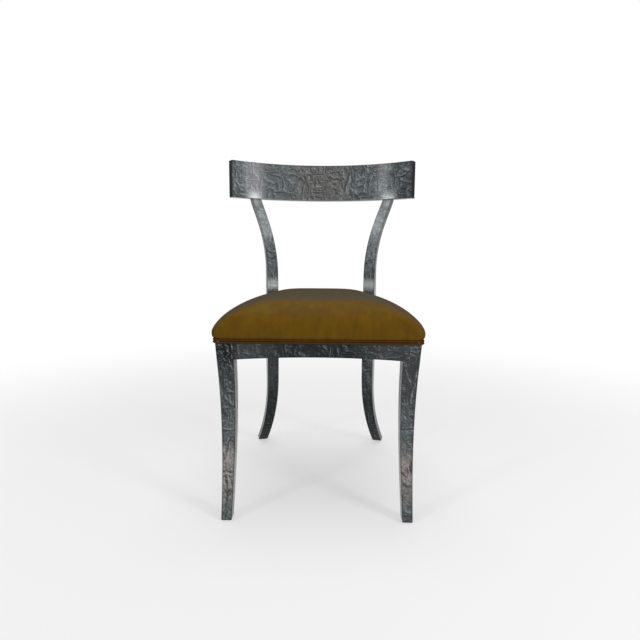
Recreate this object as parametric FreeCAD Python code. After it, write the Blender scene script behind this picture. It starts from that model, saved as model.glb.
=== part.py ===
"""Klismos side chair: sabre legs, a curved tablet back and an upholstered seat.

Millimetres, +Z up, and the front of the chair faces -Y. The origin is on the floor
under the middle of the chair's bounding box. Plan positions are worked out with Y
measured from the front face of the seat frame, and every shape is moved to the
origin as it is saved. Paired pieces are made for the +X side and mirrored.
"""
import FreeCAD
import Part
import math
import os

Vector = FreeCAD.Vector

# Seat frame
seat_front_half = 230.5
seat_rear_half = 145.0
seat_depth = 408.0
rail_bottom = 359.0
rail_face_height = 37.0
rabbet_height = 12.0
rabbet_depth = 3.0
rail_thickness = 22.0
rail_arch = 6.5

# Front legs
front_sweep = 45.0
front_foot_draw_in = 17.0
front_foot_width = 23.0
front_foot_depth = 26.0
front_block_width = 38.0
front_block_depth = 38.0
front_block_taper = 4.0
front_side_draft = 0.105

# Rear legs, each one piece from the floor to the tablet
rear_leg_setback = 24.5
rear_leg_inset = 5.4
rear_splay = 29.0
rear_turn = 13.0
rear_foot_sweep = 90.5
stile_sweep = 130.0
stile_ease = 0.12
waist_below_rail = 139.0
waist_above_frame = 127.0
swell_start_below_rail = 209.0
swell_full_below_rail = 59.0
swell_full_above_frame = 32.0
swell_end_above_frame = 192.0
rear_foot_width = 27.5
rear_seat_width = 33.0
stile_top_width = 28.5
stile_depth = 34.0
seat_swell = 9.0

# Tablet
tablet_bottom = 766.0
tablet_height = 110.0
tablet_radius = 438.5
tablet_thickness = 22.0
tablet_half_angle = 38.0
tablet_ease = 1.2

# Feet and glides
foot_chamfer = 2.0
glide_diameter = 16.0
glide_height = 2.0
glide_nail_diameter = 2.5
glide_nail_length = 14.0

# Joints
joint_ease = 0.3
joint_gap = 0.15
tenon_thickness = 9.0
tenon_height = 24.0
tenon_rise = 7.0
front_tenon_length = 20.0
front_tenon_set_in = 5.0
side_tenon_length = 15.0
rear_tenon_length = 15.0
stile_tenon_thickness = 10.0
stile_tenon_width = 18.0
stile_tenon_length = 45.0

# Corner blocks and screws
block_height = 30.0
block_arm = 46.0
block_screw_diameter = 5.0
block_screw_length = 42.0
block_screw_drop = 8.0
seat_screw_diameter = 4.0
seat_screw_cover = 2.0
screw_head_ratio = 2.0
screw_head_height = 2.5

# Upholstery
board_inset = 6.0
board_thickness = 9.0
cover_thickness = 1.8
cover_gap = 0.3
leg_notch_gap = 1.0
flange_inset = -0.4
flange_corner = 12.0
flange_drop = 1.0
flange_roll = 3.0
widest_rise = 17.0
seat_bulge = 9.0
crown_rise = 93.0
crown_reach = 125.0
crown_shoulder = 1.6
crown_flatness = 1.9
crown_corner = 46.0
rear_draw = 1.6
foam_gap = 0.6
welt_diameter = 5.2
welt_gap = 0.3
welt_facets = 12
welt_end_gap = 1.6
dust_cover_thickness = 1.0

# Sections along each leg and up the cushion
front_leg_steps = 6
rear_leg_steps = 8
flange_steps = 2
crown_steps = 7
lining_steps = 3
foam_steps = 3
profile_probe = 0.01

# Places that follow from the sizes above
shelf_height = rail_bottom + rail_face_height
frame_top = shelf_height + rabbet_height
foot_bottom = glide_height
foot_top = foot_bottom + foot_chamfer
front_block_outer = seat_front_half - front_block_taper
front_block_inner = front_block_outer - front_block_width
front_foot_outer = seat_front_half - front_foot_draw_in
waist_low = rail_bottom - waist_below_rail
waist_high = frame_top + waist_above_frame
swell_start = rail_bottom - swell_start_below_rail
swell_low = rail_bottom - swell_full_below_rail
swell_high = frame_top + swell_full_above_frame
swell_end = frame_top + swell_end_above_frame
overall_height = tablet_bottom + tablet_height
tenon_bottom = rail_bottom + tenon_rise
block_screw_level = frame_top - block_screw_drop
flange_top = frame_top - flange_drop
seat_widest = frame_top + widest_rise
crown_height = frame_top + crown_rise
board_top = frame_top + board_thickness
welt_radius = welt_diameter / 2
side_slope = (seat_front_half - seat_rear_half) / seat_depth
side_angle = math.atan(side_slope)

across = Vector(1, 0, 0)
upward = Vector(0, 0, 1)


def mirrored(shape):
    """The same piece on the other side of the chair's middle plane."""
    return shape.mirror(Vector(0, 0, 0), across)


def smooth(value, start, end):
    """0 before start, 1 after end, with level ends between."""
    share = min(max((value - start) / (end - start), 0.0), 1.0)
    return share * share * (3.0 - 2.0 * share)


def heading(degrees):
    """Plan direction turned from +Y towards +X."""
    turn = math.radians(degrees)
    return Vector(math.sin(turn), math.cos(turn), 0)


def line(start, end):
    return Part.LineSegment(start, end).toShape()


def corner_arc(before, corner, after, radius):
    """Start, middle and end of the arc that turns a corner of a path."""
    back = (before - corner).normalize()
    ahead = (after - corner).normalize()
    half = back.getAngle(ahead) / 2
    inward = (back + ahead).normalize()
    reach = radius / math.tan(half)
    middle = corner + inward * (radius / math.sin(half) - radius)
    return corner + back * reach, middle, corner + ahead * reach


def rounded_edges(corners, radius, height, flats=()):
    """Closed level outline whose corners turn on arcs, or on two flats where listed."""
    lift = Vector(0, 0, height)
    raised = [corner + lift for corner in corners]
    following = raised[1:] + raised[:1]
    arcs = []
    for index, corner in enumerate(raised):
        arcs.append(corner_arc(raised[index - 1], corner, following[index], radius))
    edges = []
    for index, arc in enumerate(arcs):
        if index in flats:
            edges += [line(arc[0], arc[1]), line(arc[1], arc[2])]
        else:
            edges.append(Part.Arc(*arc).toShape())
        edges.append(line(arc[2], arcs[(index + 1) % len(arcs)][0]))
    return edges


def level_wire(corners, height):
    """Closed level outline with sharp corners."""
    points = [Vector(corner.x, corner.y, height) for corner in corners]
    return Part.makePolygon(points + points[:1])


def plate(corners, bottom, top):
    """Prism over a straight-sided plan."""
    return Part.Face(level_wire(corners, bottom)).extrude(Vector(0, 0, top - bottom))


def band(low, high):
    """Face between two edges, plane where both of them are straight and parallel."""
    if isinstance(low.Curve, Part.Circle):
        return Part.makeRuledSurface(low, high)
    start, end = [vertex.Point for vertex in low.Vertexes]
    high_start, high_end = [vertex.Point for vertex in high.Vertexes]
    return Part.Face(Part.makePolygon([start, end, high_end, high_start, start]))


def banded(outlines):
    """Solid whose skin runs straight from each rounded outline to the next."""
    faces = [Part.Face(Part.Wire(outlines[0])), Part.Face(Part.Wire(outlines[-1]))]
    for low, high in zip(outlines, outlines[1:]):
        faces += [band(below, above) for below, above in zip(low, high)]
    skin = Part.Compound(faces)
    skin.sewShape()
    return Part.Solid(Part.Shell(skin.Faces))


def taper(low, high):
    """Straight-sided solid between two level outlines."""
    return Part.makeLoft([low, high], True, True)


def joined(shapes):
    """One solid from shapes that meet in whole faces."""
    return shapes[0].fuse(shapes[1:])


def meet(point, direction, other_point, other_direction):
    """Where two plan lines cross."""
    offset = other_point - point
    scale = direction.x * other_direction.y - direction.y * other_direction.x
    along = (offset.x * other_direction.y - offset.y * other_direction.x) / scale
    return point + direction * along


def oblong(centre, back, width, depth):
    """Corners of a rectangle in plan whose depth lies along a heading."""
    side = Vector(back.y, -back.x, 0) * (width / 2)
    reach = back * (depth / 2)
    return [
        centre - side - reach,
        centre + side - reach,
        centre + side + reach,
        centre - side + reach,
    ]


def rod(start, direction, diameter, length):
    return Part.makeCylinder(diameter / 2, length, start, direction)


def screw(start, direction, diameter, length):
    """Screw whose flat head bears at the start point."""
    shank = rod(start, direction, diameter, length)
    head_start = start - direction * screw_head_height
    head = rod(head_start, direction, diameter * screw_head_ratio, screw_head_height)
    return head.fuse(shank)


# Plan of the seat frame, whose sides run in towards the back

side_direction = Vector(-math.sin(side_angle), math.cos(side_angle), 0)
side_outward = Vector(math.cos(side_angle), math.sin(side_angle), 0)


def side_point(y, inset=0.0):
    """Point on the side of the seat's plan, or on that line drawn in square to it."""
    return Vector(seat_front_half - side_slope * y - inset / math.cos(side_angle), y, 0)


def seat_corners(inset, rear_inset):
    """Corners of the seat's plan, drawn in from the outer faces of the frame."""
    front = side_point(inset, inset)
    rear = side_point(seat_depth - rear_inset, inset)
    return [front, rear, Vector(-rear.x, rear.y, 0), Vector(-front.x, front.y, 0)]


def seat_outline(inset, rear_inset, radius, height):
    """The plan with round front corners; the rear legs stand in the other two."""
    return rounded_edges(seat_corners(inset, rear_inset), radius, height, (1, 2))


def seat_prism(inset, radius, bottom, top):
    outline = seat_outline(inset, inset, radius, bottom)
    return Part.Face(Part.Wire(outline)).extrude(Vector(0, 0, top - bottom))


# Sections of the legs

def front_leg_corners(height):
    """Section of the front leg below the rail, swept forward and thinned to the foot."""
    share = height / rail_bottom
    front = -front_sweep * (1.0 - share) ** 2
    outer = front_foot_outer + (front_block_outer - front_foot_outer) * share ** 2.7
    width = front_foot_width + (front_block_width - front_foot_width) * share ** 1.15
    depth = front_foot_depth + (front_block_depth - front_foot_depth) * share ** 1.5
    return [
        Vector(outer - width, front, 0),
        Vector(outer, front, 0),
        Vector(outer - depth * front_side_draft, front + depth, 0),
        Vector(outer - width, front + depth, 0),
    ]


rear_leg_root = side_point(seat_depth - rear_leg_setback) - across * rear_leg_inset


def rear_swing(height):
    """How far the rear leg's axis has swung out from where it carries the seat."""
    if height < waist_low:
        return rear_foot_sweep * ((waist_low - height) / waist_low) ** 2
    if height > waist_high:
        share = (height - waist_high) / (tablet_bottom - waist_high)
        return stile_sweep * ((1.0 + stile_ease) * share ** 2 - stile_ease * share ** 8)
    return 0.0


def rear_axis(height):
    return rear_leg_root + heading(rear_splay) * rear_swing(height)


tablet_middle_radius = tablet_radius + tablet_thickness / 2
stile_top = rear_axis(tablet_bottom)
stile_angle = math.degrees(math.asin(stile_top.x / tablet_middle_radius))
tablet_centre_y = stile_top.y - tablet_middle_radius * math.cos(math.radians(stile_angle))


def rear_leg_corners(height, extra=0.0):
    """Section of the rear leg, which turns to the tablet as it climbs, grown by a clearance."""
    climb = min(max((height - waist_high) / (tablet_bottom - waist_high), 0.0), 1.0)
    back = heading(rear_turn + (stile_angle - rear_turn) * climb ** 3)
    swell = smooth(height, swell_start, swell_low) * (1.0 - smooth(height, swell_high, swell_end))
    width = rear_seat_width + 2 * extra
    width -= (rear_seat_width - rear_foot_width) * (1.0 - smooth(height, foot_bottom, swell_low))
    width -= (rear_seat_width - stile_top_width) * smooth(height, swell_high, tablet_bottom)
    depth = stile_depth - (stile_depth - tablet_thickness) * climb ** 6
    depth += seat_swell * swell + 2 * extra
    centre = rear_axis(height) + back * (seat_swell * swell / 2)
    return oblong(centre, back, width, depth)


seat_section = rear_leg_corners(swell_low)
rear_leg_face = (seat_section[1] - seat_section[0]).normalize()
rear_leg_flank = (seat_section[3] - seat_section[0]).normalize()


def leg_stretch(corners_at, start, end, steps):
    """Smooth length of a leg between two heights."""
    wires = []
    for step in range(steps + 1):
        height = start + (end - start) * step / steps
        wires.append(level_wire(corners_at(height), height))
    return Part.makeLoft(wires, True)


def foot_end(corners_at):
    """Lowest slice of a leg, drawn in so that the wood does not splinter."""
    low = corners_at(foot_bottom)
    middle = (low[0] + low[2]) * 0.5
    drawn = [corner + (middle - corner).normalize() * foot_chamfer for corner in low]
    return taper(level_wire(drawn, foot_bottom), level_wire(corners_at(foot_top), foot_top))


# Tenons, drawn once for the tongue and, with a gap, for its mortise

def front_tenon(gap=0.0):
    half = front_block_inner + front_tenon_length + gap
    corner = Vector(-half, front_tenon_set_in - gap, tenon_bottom - gap)
    return Part.makeBox(2 * half, tenon_thickness + 2 * gap, tenon_height + 2 * gap, corner)


rail_rear_outer = meet(side_point(0), side_direction, seat_section[0], rear_leg_face)
rail_rear_inner = meet(side_point(0, rail_thickness), side_direction, seat_section[0], rear_leg_face)


def side_tenon(gap=0.0):
    """Tongue through the middle of the side rail, past both its ends."""
    near = (rail_thickness - tenon_thickness) / 2 - gap
    far = (rail_thickness + tenon_thickness) / 2 + gap
    start = front_block_depth - side_tenon_length - gap
    end = rail_rear_outer.y + side_tenon_length + gap
    corners = [side_point(start, near), side_point(end, near), side_point(end, far), side_point(start, far)]
    return plate(corners, tenon_bottom - gap, tenon_bottom + tenon_height + gap)


rear_rail_front = seat_depth - rail_thickness
rear_rail_inner_end = meet(Vector(0, rear_rail_front, 0), across, seat_section[0], rear_leg_flank)
rear_rail_outer_end = meet(Vector(0, seat_depth, 0), across, seat_section[0], rear_leg_flank)


def rear_tenon(gap=0.0):
    half = rear_rail_outer_end.x + rear_tenon_length + gap
    front = rear_rail_front + (rail_thickness - tenon_thickness) / 2 - gap
    corner = Vector(-half, front, tenon_bottom - gap)
    return Part.makeBox(2 * half, tenon_thickness + 2 * gap, tenon_height + 2 * gap, corner)


def stile_tenon(gap=0.0):
    """Tongue on top of the stile that stands in the tablet's lower edge."""
    width = stile_tenon_width + 2 * gap
    corners = oblong(stile_top, heading(stile_angle), width, stile_tenon_thickness + 2 * gap)
    return plate(corners, tablet_bottom, tablet_bottom + stile_tenon_length + gap)


# Rails

def rabbet(shape):
    """Cuts the step along the outer top edge in which the cover is tacked."""
    beyond = rail_thickness
    ring = seat_prism(-beyond, joint_ease, shelf_height, frame_top + beyond)
    core = seat_prism(rabbet_depth, flange_corner, shelf_height, frame_top + beyond)
    return shape.cut(ring.cut(core))


def arched_board(half_length, overhang, thickness):
    """Board on edge along X whose lower edge is hollowed in a shallow arch."""
    reach = half_length + overhang
    left = Vector(-half_length, 0, rail_bottom)
    right = Vector(half_length, 0, rail_bottom)
    top = [
        Vector(reach, 0, rail_bottom),
        Vector(reach, 0, frame_top),
        Vector(-reach, 0, frame_top),
        Vector(-reach, 0, rail_bottom),
    ]
    outline = [Part.Arc(left, Vector(0, 0, rail_bottom + rail_arch), right).toShape()]
    outline += [line(start, end) for start, end in zip([right] + top, top + [left])]
    return Part.Face(Part.Wire(outline)).extrude(Vector(0, thickness, 0))


def trimmed(board, plan):
    """Board cut square or slanting to the plan of its rail."""
    return board.common(plate(plan, rail_bottom - rail_thickness, frame_top))


def front_seat_rail():
    half = front_block_inner
    plan = [
        Vector(-half, 0, 0),
        Vector(half, 0, 0),
        Vector(half, rail_thickness, 0),
        Vector(-half, rail_thickness, 0),
    ]
    board = arched_board(half, rail_thickness, rail_thickness)
    return rabbet(trimmed(board, plan)).fuse(front_tenon())


def side_seat_rail():
    start = side_point(front_block_depth)
    plan = [start, rail_rear_outer, rail_rear_inner, side_point(front_block_depth, rail_thickness)]
    half = (rail_rear_outer - start).Length / 2
    board = arched_board(half, 2 * rail_thickness, rail_thickness)
    board.rotate(Vector(0, 0, 0), upward, 90 + math.degrees(side_angle))
    board.translate((rail_rear_outer + start) * 0.5)
    return rabbet(trimmed(board, plan)).fuse(side_tenon())


def rear_seat_rail():
    inner = rear_rail_inner_end
    outer = rear_rail_outer_end
    plan = [Vector(-inner.x, inner.y, 0), inner, outer, Vector(-outer.x, outer.y, 0)]
    board = arched_board(inner.x, 2 * rail_thickness, rail_thickness)
    board.translate(Vector(0, rear_rail_front, 0))
    return rabbet(trimmed(board, plan)).fuse(rear_tenon())


# Corner blocks, each notched round its leg, with its two screws

def front_block_plan():
    corner = Vector(front_block_inner, front_block_depth, 0)
    return [
        Vector(front_block_inner - block_arm, rail_thickness, 0),
        Vector(front_block_inner, rail_thickness, 0),
        corner,
        side_point(corner.y, rail_thickness),
        side_point(corner.y + block_arm, rail_thickness),
    ]


def rear_block_plan():
    return [
        rear_rail_inner_end - across * block_arm,
        rear_rail_inner_end,
        seat_section[0],
        rail_rear_inner,
        side_point(rail_rear_inner.y - block_arm, rail_thickness),
    ]


def block_screw(plan, diameter):
    """Screw square through the block's long face, towards the corner of the leg."""
    start = (plan[0] + plan[-1]) * 0.5
    face = plan[-1] - plan[0]
    direction = Vector(face.y, -face.x, 0).normalize()
    if direction.dot(plan[2] - start) < 0:
        direction = direction * -1
    return screw(start + upward * block_screw_level, direction, diameter, block_screw_length)


def seat_screw(plan, diameter):
    """Upright screw through the block into the seat board, clear of the other screw."""
    place = plan[0] * 0.5 + plan[2] * 0.3 + plan[-1] * 0.2
    length = block_height + board_thickness - seat_screw_cover
    return screw(place + upward * (frame_top - block_height), upward, diameter, length)


def corner_block(plan):
    body = plate(plan, frame_top - block_height, frame_top)
    body = body.cut(block_screw(plan, block_screw_diameter + 2 * joint_gap))
    return body.cut(seat_screw(plan, seat_screw_diameter + 2 * joint_gap))


def screw_set(make, diameter):
    """One kind of screw in all four corners."""
    screws = []
    for plan in (front_block_plan(), rear_block_plan()):
        screws.append(make(plan, diameter))
        screws.append(mirrored(screws[-1]))
    return Part.makeCompound(screws)


# Legs and tablet, with their mortises and holes

def foot_middle(corners_at):
    corners = corners_at(foot_bottom)
    return (corners[0] + corners[2]) * 0.5


def glides():
    """Nylon disc under each foot, with the nail that holds it."""
    discs = []
    for corners_at in (front_leg_corners, rear_leg_corners):
        place = foot_middle(corners_at)
        disc = rod(place, upward, glide_diameter, glide_height)
        discs.append(disc.fuse(rod(place, upward, glide_nail_diameter, glide_nail_length)))
        discs.append(mirrored(discs[-1]))
    return Part.makeCompound(discs)


def nail_hole(place):
    return rod(place, upward, glide_nail_diameter + 2 * joint_gap, glide_nail_length + joint_gap)


def front_leg_head():
    """Straight top of the front leg, flush with the rails that it holds."""
    low = front_leg_corners(rail_bottom)
    high = [low[0], Vector(seat_front_half, 0, 0), low[2], low[3]]
    return taper(level_wire(low, rail_bottom), level_wire(high, frame_top))


def front_leg():
    sabre = leg_stretch(front_leg_corners, foot_top, rail_bottom, front_leg_steps)
    leg = rabbet(joined([foot_end(front_leg_corners), sabre, front_leg_head()]))
    leg = leg.cut(front_tenon(joint_gap)).cut(side_tenon(joint_gap))
    leg = leg.cut(block_screw(front_block_plan(), block_screw_diameter + 2 * joint_gap))
    return leg.cut(nail_hole(foot_middle(front_leg_corners)))


def rear_leg():
    leg = joined([
        foot_end(rear_leg_corners),
        leg_stretch(rear_leg_corners, foot_top, swell_low, rear_leg_steps),
        plate(seat_section, swell_low, swell_high),
        leg_stretch(rear_leg_corners, swell_high, tablet_bottom, rear_leg_steps),
        stile_tenon(),
    ])
    leg = leg.cut(rear_tenon(joint_gap)).cut(side_tenon(joint_gap))
    leg = leg.cut(block_screw(rear_block_plan(), block_screw_diameter + 2 * joint_gap))
    return leg.cut(nail_hole(foot_middle(rear_leg_corners)))


def tablet_point(radius, share):
    turn = math.radians(tablet_half_angle * share)
    return Vector(radius * math.sin(turn), tablet_centre_y + radius * math.cos(turn), tablet_bottom)


def tablet():
    """Board bent to a level arc, hollow to the front, mortised for both stiles."""
    front = [tablet_point(tablet_radius, share) for share in (-1, 0, 1)]
    back = [tablet_point(tablet_radius + tablet_thickness, share) for share in (1, 0, -1)]
    outline = [
        Part.Arc(*front).toShape(),
        line(front[2], back[0]),
        Part.Arc(*back).toShape(),
        line(back[2], front[0]),
    ]
    board = Part.Face(Part.Wire(outline)).extrude(Vector(0, 0, tablet_height))
    board = board.makeChamfer(tablet_ease, board.Edges)
    mortise = stile_tenon(joint_gap)
    return board.cut(mortise).cut(mirrored(mortise))


# Upholstery

def cushion_profile(step):
    """Height and inset of the cover: -1 at the flange, 0 at its widest line, 1 at the crown."""
    if step < 0:
        height = seat_widest + (seat_widest - flange_top) * step
        return height, (flange_inset + seat_bulge) * (-step) ** flange_roll - seat_bulge
    rise = math.sin(step * math.pi / 2)
    height = seat_widest + (crown_height - seat_widest) * rise
    fall = max(1.0 - rise ** crown_shoulder, 0.0) ** (1.0 / crown_flatness)
    return height, crown_reach * (1.0 - fall) - seat_bulge


def cushion_station(step, skin):
    """The profile moved square to itself into the cushion."""
    height, inset = cushion_profile(step)
    if step == -1:
        return height, inset + skin
    below = cushion_profile(step - profile_probe)
    above = cushion_profile(min(step + profile_probe, 1.0))
    rise = above[0] - below[0]
    run = above[1] - below[1]
    length = math.hypot(rise, run)
    return height - skin * run / length, inset + skin * rise / length


def dome(skin, below, above):
    """Crowned body of the seat, with sections below and above its widest line."""
    outlines = []
    for index in range(-below, above + 1):
        step = index / (below if index < 0 else above)
        height, inset = cushion_station(step, skin)
        share = (height - flange_top) / (crown_height - flange_top)
        radius = flange_corner + (crown_corner - flange_corner) * share
        rear_inset = inset + (rear_draw - 1.0) * max(inset, 0.0)
        outlines.append(seat_outline(inset, rear_inset, radius, height))
    return banded(outlines)


def leg_notches(gap):
    """Room for both rear legs."""
    notch = plate(rear_leg_corners(swell_low, gap), rail_bottom, crown_height)
    return notch.fuse(mirrored(notch))


def seat_cover():
    """Leather pulled over the seat and tacked by its flange in the rabbet."""
    base = shelf_height + cover_gap
    body = dome(0.0, flange_steps, crown_steps)
    outer = joined([seat_prism(flange_inset, flange_corner, base, flange_top), body])
    lining = flange_inset + cover_thickness
    room = dome(cover_thickness, lining_steps, lining_steps)
    hollow = joined([seat_prism(lining, flange_corner, rail_bottom, flange_top), room])
    return outer.cut(hollow).cut(leg_notches(leg_notch_gap))


def seat_foam():
    below = seat_prism(-rail_thickness, flange_corner, rail_bottom, board_top + cover_gap)
    body = dome(cover_thickness + foam_gap, foam_steps, foam_steps)
    return body.cut(below).cut(leg_notches(leg_notch_gap))


def seat_board():
    board = seat_prism(board_inset, flange_corner, frame_top, board_top)
    holes = screw_set(seat_screw, seat_screw_diameter + 2 * joint_gap)
    return board.cut(leg_notches(leg_notch_gap)).cut(holes)


def cord_end(point, direction):
    """Many-sided face of the cord across a level direction."""
    side = Vector(-direction.y, direction.x, 0).normalize()
    rim = []
    for index in range(welt_facets):
        turn = 2 * math.pi * index / welt_facets
        rim.append(point + side * (welt_radius * math.cos(turn)) + upward * (welt_radius * math.sin(turn)))
    return Part.Face(Part.makePolygon(rim + rim[:1]))


def cord(points, radius, level):
    """Cord along an open path in plan, its corners turned on arcs."""
    raised = [point + upward * level for point in points]
    runs = []
    start = raised[0]
    for before, corner, after in zip(raised, raised[1:], raised[2:]):
        arc = corner_arc(before, corner, after, radius)
        runs.append(cord_end(start, arc[0] - start).extrude(arc[0] - start))
        ahead = corner - before
        turn = math.degrees(ahead.getAngle(after - corner))
        pivot = arc[0] + Vector(-ahead.y, ahead.x, 0).normalize() * radius
        runs.append(cord_end(arc[0], ahead).revolve(pivot, upward, turn))
        start = arc[2]
    runs.append(cord_end(start, raised[-1] - start).extrude(raised[-1] - start))
    return joined(runs)


def welt_levels():
    """Centre heights of the lower and the upper cord."""
    lower = shelf_height + cover_gap + welt_radius
    return lower, lower + welt_diameter + welt_gap


welt_inset = flange_inset - welt_gap - welt_radius


def side_welt(level):
    """Cord round the front and sides of the seat, from one rear leg to the other."""
    front = seat_corners(welt_inset, welt_inset)[0]
    stop = meet(side_point(0, welt_inset), side_direction, seat_section[0], rear_leg_face)
    end = stop - side_direction * welt_end_gap
    points = [Vector(-end.x, end.y, 0), Vector(-front.x, front.y, 0), front, end]
    return cord(points, flange_corner + flange_inset - welt_inset, level)


def rear_welt(level):
    """Cord across the back of the seat, between the rear legs."""
    stop = meet(Vector(0, seat_depth - welt_inset, 0), across, seat_section[0], rear_leg_flank)
    end = stop - across * welt_end_gap
    return cord([Vector(-end.x, end.y, 0), end], 0.0, level)


def dust_cover():
    """Cambric sheet inside the rails, level with the tops of their arches."""
    bottom = rail_bottom + rail_arch + dust_cover_thickness
    top = bottom + dust_cover_thickness
    sheet = plate(seat_corners(rail_thickness + cover_gap, rail_thickness + cover_gap), bottom, top)
    reach = front_block_inner - cover_gap
    depth = front_block_depth + cover_gap
    corner = Part.makeBox(front_block_width * 2, depth, top, Vector(reach, 0, 0))
    sheet = sheet.cut(corner).cut(mirrored(corner))
    return sheet.cut(leg_notches(cover_gap))


def build():
    """Every piece under the name of its file."""
    pairs = {
        "front_leg": front_leg(),
        "rear_leg": rear_leg(),
        "side_seat_rail": side_seat_rail(),
        "front_corner_block": corner_block(front_block_plan()),
        "rear_corner_block": corner_block(rear_block_plan()),
    }
    lower, upper = welt_levels()
    pieces = {
        "tablet": tablet(),
        "front_seat_rail": front_seat_rail(),
        "rear_seat_rail": rear_seat_rail(),
        "glides": glides(),
        "block_screws": screw_set(block_screw, block_screw_diameter),
        "seat_screws": screw_set(seat_screw, seat_screw_diameter),
        "seat_board": seat_board(),
        "seat_foam": seat_foam(),
        "seat_cover": seat_cover(),
        "lower_welt": side_welt(lower),
        "upper_welt": side_welt(upper),
        "rear_lower_welt": rear_welt(lower),
        "rear_upper_welt": rear_welt(upper),
        "dust_cover": dust_cover(),
    }
    for name, shape in pairs.items():
        pieces[name + "_left"] = shape
        pieces[name + "_right"] = mirrored(shape)
    return pieces


def save(pieces):
    """Moves each piece to the chair's own origin and writes its file."""
    os.makedirs("parts", exist_ok=True)
    toe = front_leg_corners(foot_top)[0].y
    back = tablet_centre_y + tablet_radius + tablet_thickness
    to_origin = Vector(0, -(toe + back) / 2, 0)
    for name, shape in pieces.items():
        shape.translate(to_origin)
        shape.exportStep("parts/" + name + ".step")


save(build())
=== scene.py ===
"""Klismos side chair: leaf-covered frame, crowned leather seat with a double welt."""
import math

import bmesh
import bpy
from bpy.props import FloatProperty, FloatVectorProperty, IntProperty, PointerProperty
from mathutils import Matrix, Vector, noise


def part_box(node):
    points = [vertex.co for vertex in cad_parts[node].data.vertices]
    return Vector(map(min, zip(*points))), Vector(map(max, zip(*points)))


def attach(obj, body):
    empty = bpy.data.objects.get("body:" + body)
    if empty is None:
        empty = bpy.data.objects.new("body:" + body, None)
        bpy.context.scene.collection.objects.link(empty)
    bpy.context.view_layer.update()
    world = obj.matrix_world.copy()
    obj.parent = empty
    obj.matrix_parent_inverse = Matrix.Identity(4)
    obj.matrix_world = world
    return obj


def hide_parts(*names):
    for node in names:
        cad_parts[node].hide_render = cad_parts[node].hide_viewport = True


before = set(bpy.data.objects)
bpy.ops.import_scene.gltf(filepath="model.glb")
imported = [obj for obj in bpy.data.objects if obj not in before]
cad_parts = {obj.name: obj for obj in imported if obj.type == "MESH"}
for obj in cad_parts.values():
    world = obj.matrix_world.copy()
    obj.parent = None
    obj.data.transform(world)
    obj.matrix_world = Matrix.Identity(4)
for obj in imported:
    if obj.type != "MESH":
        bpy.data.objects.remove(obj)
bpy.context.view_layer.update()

bl_info = {
    "name": "Klismos Side Chair",
    "version": (1, 0, 0),
    "blender": (4, 5, 0),
    "location": "View3D > Sidebar > Klismos",
    "description": "Finishes and upholsters a klismos chair on its packed frame",
    "category": "Object",
}

MM = 0.001


def linear(hex_code):
    """sRGB hex to the linear RGBA that Blender works in."""
    channels = [int(hex_code[i:i + 2], 16) / 255 for i in (0, 2, 4)]
    curved = [c / 12.92 if c <= 0.04045 else ((c + 0.055) / 1.055) ** 2.4 for c in channels]
    return (*curved, 1.0)


def colour(name, description, hex_code):
    return FloatVectorProperty(name=name, description=description, subtype="COLOR", size=4,
                               min=0, max=1, default=linear(hex_code))


def length(name, description, millimetres):
    return FloatProperty(name=name, description=description, unit="LENGTH", default=millimetres * MM)


def angle(name, description, degrees):
    return FloatProperty(name=name, description=description, subtype="ANGLE",
                         default=math.radians(degrees))


# Sizes and colours that a user would change

class KLISMOS_PG_leaf(bpy.types.PropertyGroup):
    cool: colour("Cool leaf", "Blue-grey of the lacquered leaf", "535D60")
    warm: colour("Warm leaf", "Taupe that shows in the middle of the tablet", "5A5552")
    # deep is also laid over the tablet's left end as painted shade
    deep: colour("Deep leaf", "Darker clouds in the leaf", "2A3134")
    # crease is also laid as painted shade: on one side of each fold, the front rail's middle, one front
    # leg's top, the rear legs' lower parts, the stiles' sides and the tablet's ends
    crease: colour("Crease", "Glaze that has settled in the creases", "0D1113")
    # painted_highlight is painted light: the bright side of each fold, the fronts of the stiles and a
    # line along the tablet's foot
    painted_highlight: colour("Glint", "Leaf rubbed bright along raised folds", "98A0A0")
    # shaded_leaf is painted shade: the darker colour laid over the rails and the upper part of the
    # front legs
    shaded_leaf: colour("Shaded leaf", "Leaf under the darker glaze of the rails", "1E2426")
    # highlit is a painted highlight: a pinkish patch of light on the shins of the front legs
    highlit: colour("Highlit leaf", "Leaf highlighted pinkish on the shins of the front legs", "A79C97")
    # joint_highlight_colour is a painted highlight: bright spots where the stiles meet the tablet and
    # the seat
    joint_highlight_colour: colour("Spotlit leaf", "Leaf rubbed bright at both ends of the stiles", "C2C8C7")
    # painted_shade is how far the rails are darkened by painted shade, which also weakens their painted
    # highlights and bump
    painted_shade: FloatProperty(name="Glaze", description="How much of the rails the darker glaze covers",
                         subtype="FACTOR", min=0, max=1, default=0.75)
    # light_offset sets which side of each fold gets the painted shade and which the painted highlight
    light_offset: FloatVectorProperty(name="Lighting", description="Way that the glaze was shifted across the folds",
                              subtype="XYZ", unit="LENGTH", default=(0.0011, 0.0006, 0.0013))
    fold: length("Fold", "Scale of the large folds, which lie about half of it apart", 48)
    crinkle: length("Crinkle", "Distance between the small folds", 9)
    patch: length("Patch", "Size of the areas whose folds run one way", 38.46)
    cloud: length("Cloud", "Size of the darker clouds", 83.3)
    grain: length("Grain", "Size of the leaf's grain", 5.0)
    arris: length("Arris", "Radius to which the edges are eased", 1.8)


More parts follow.
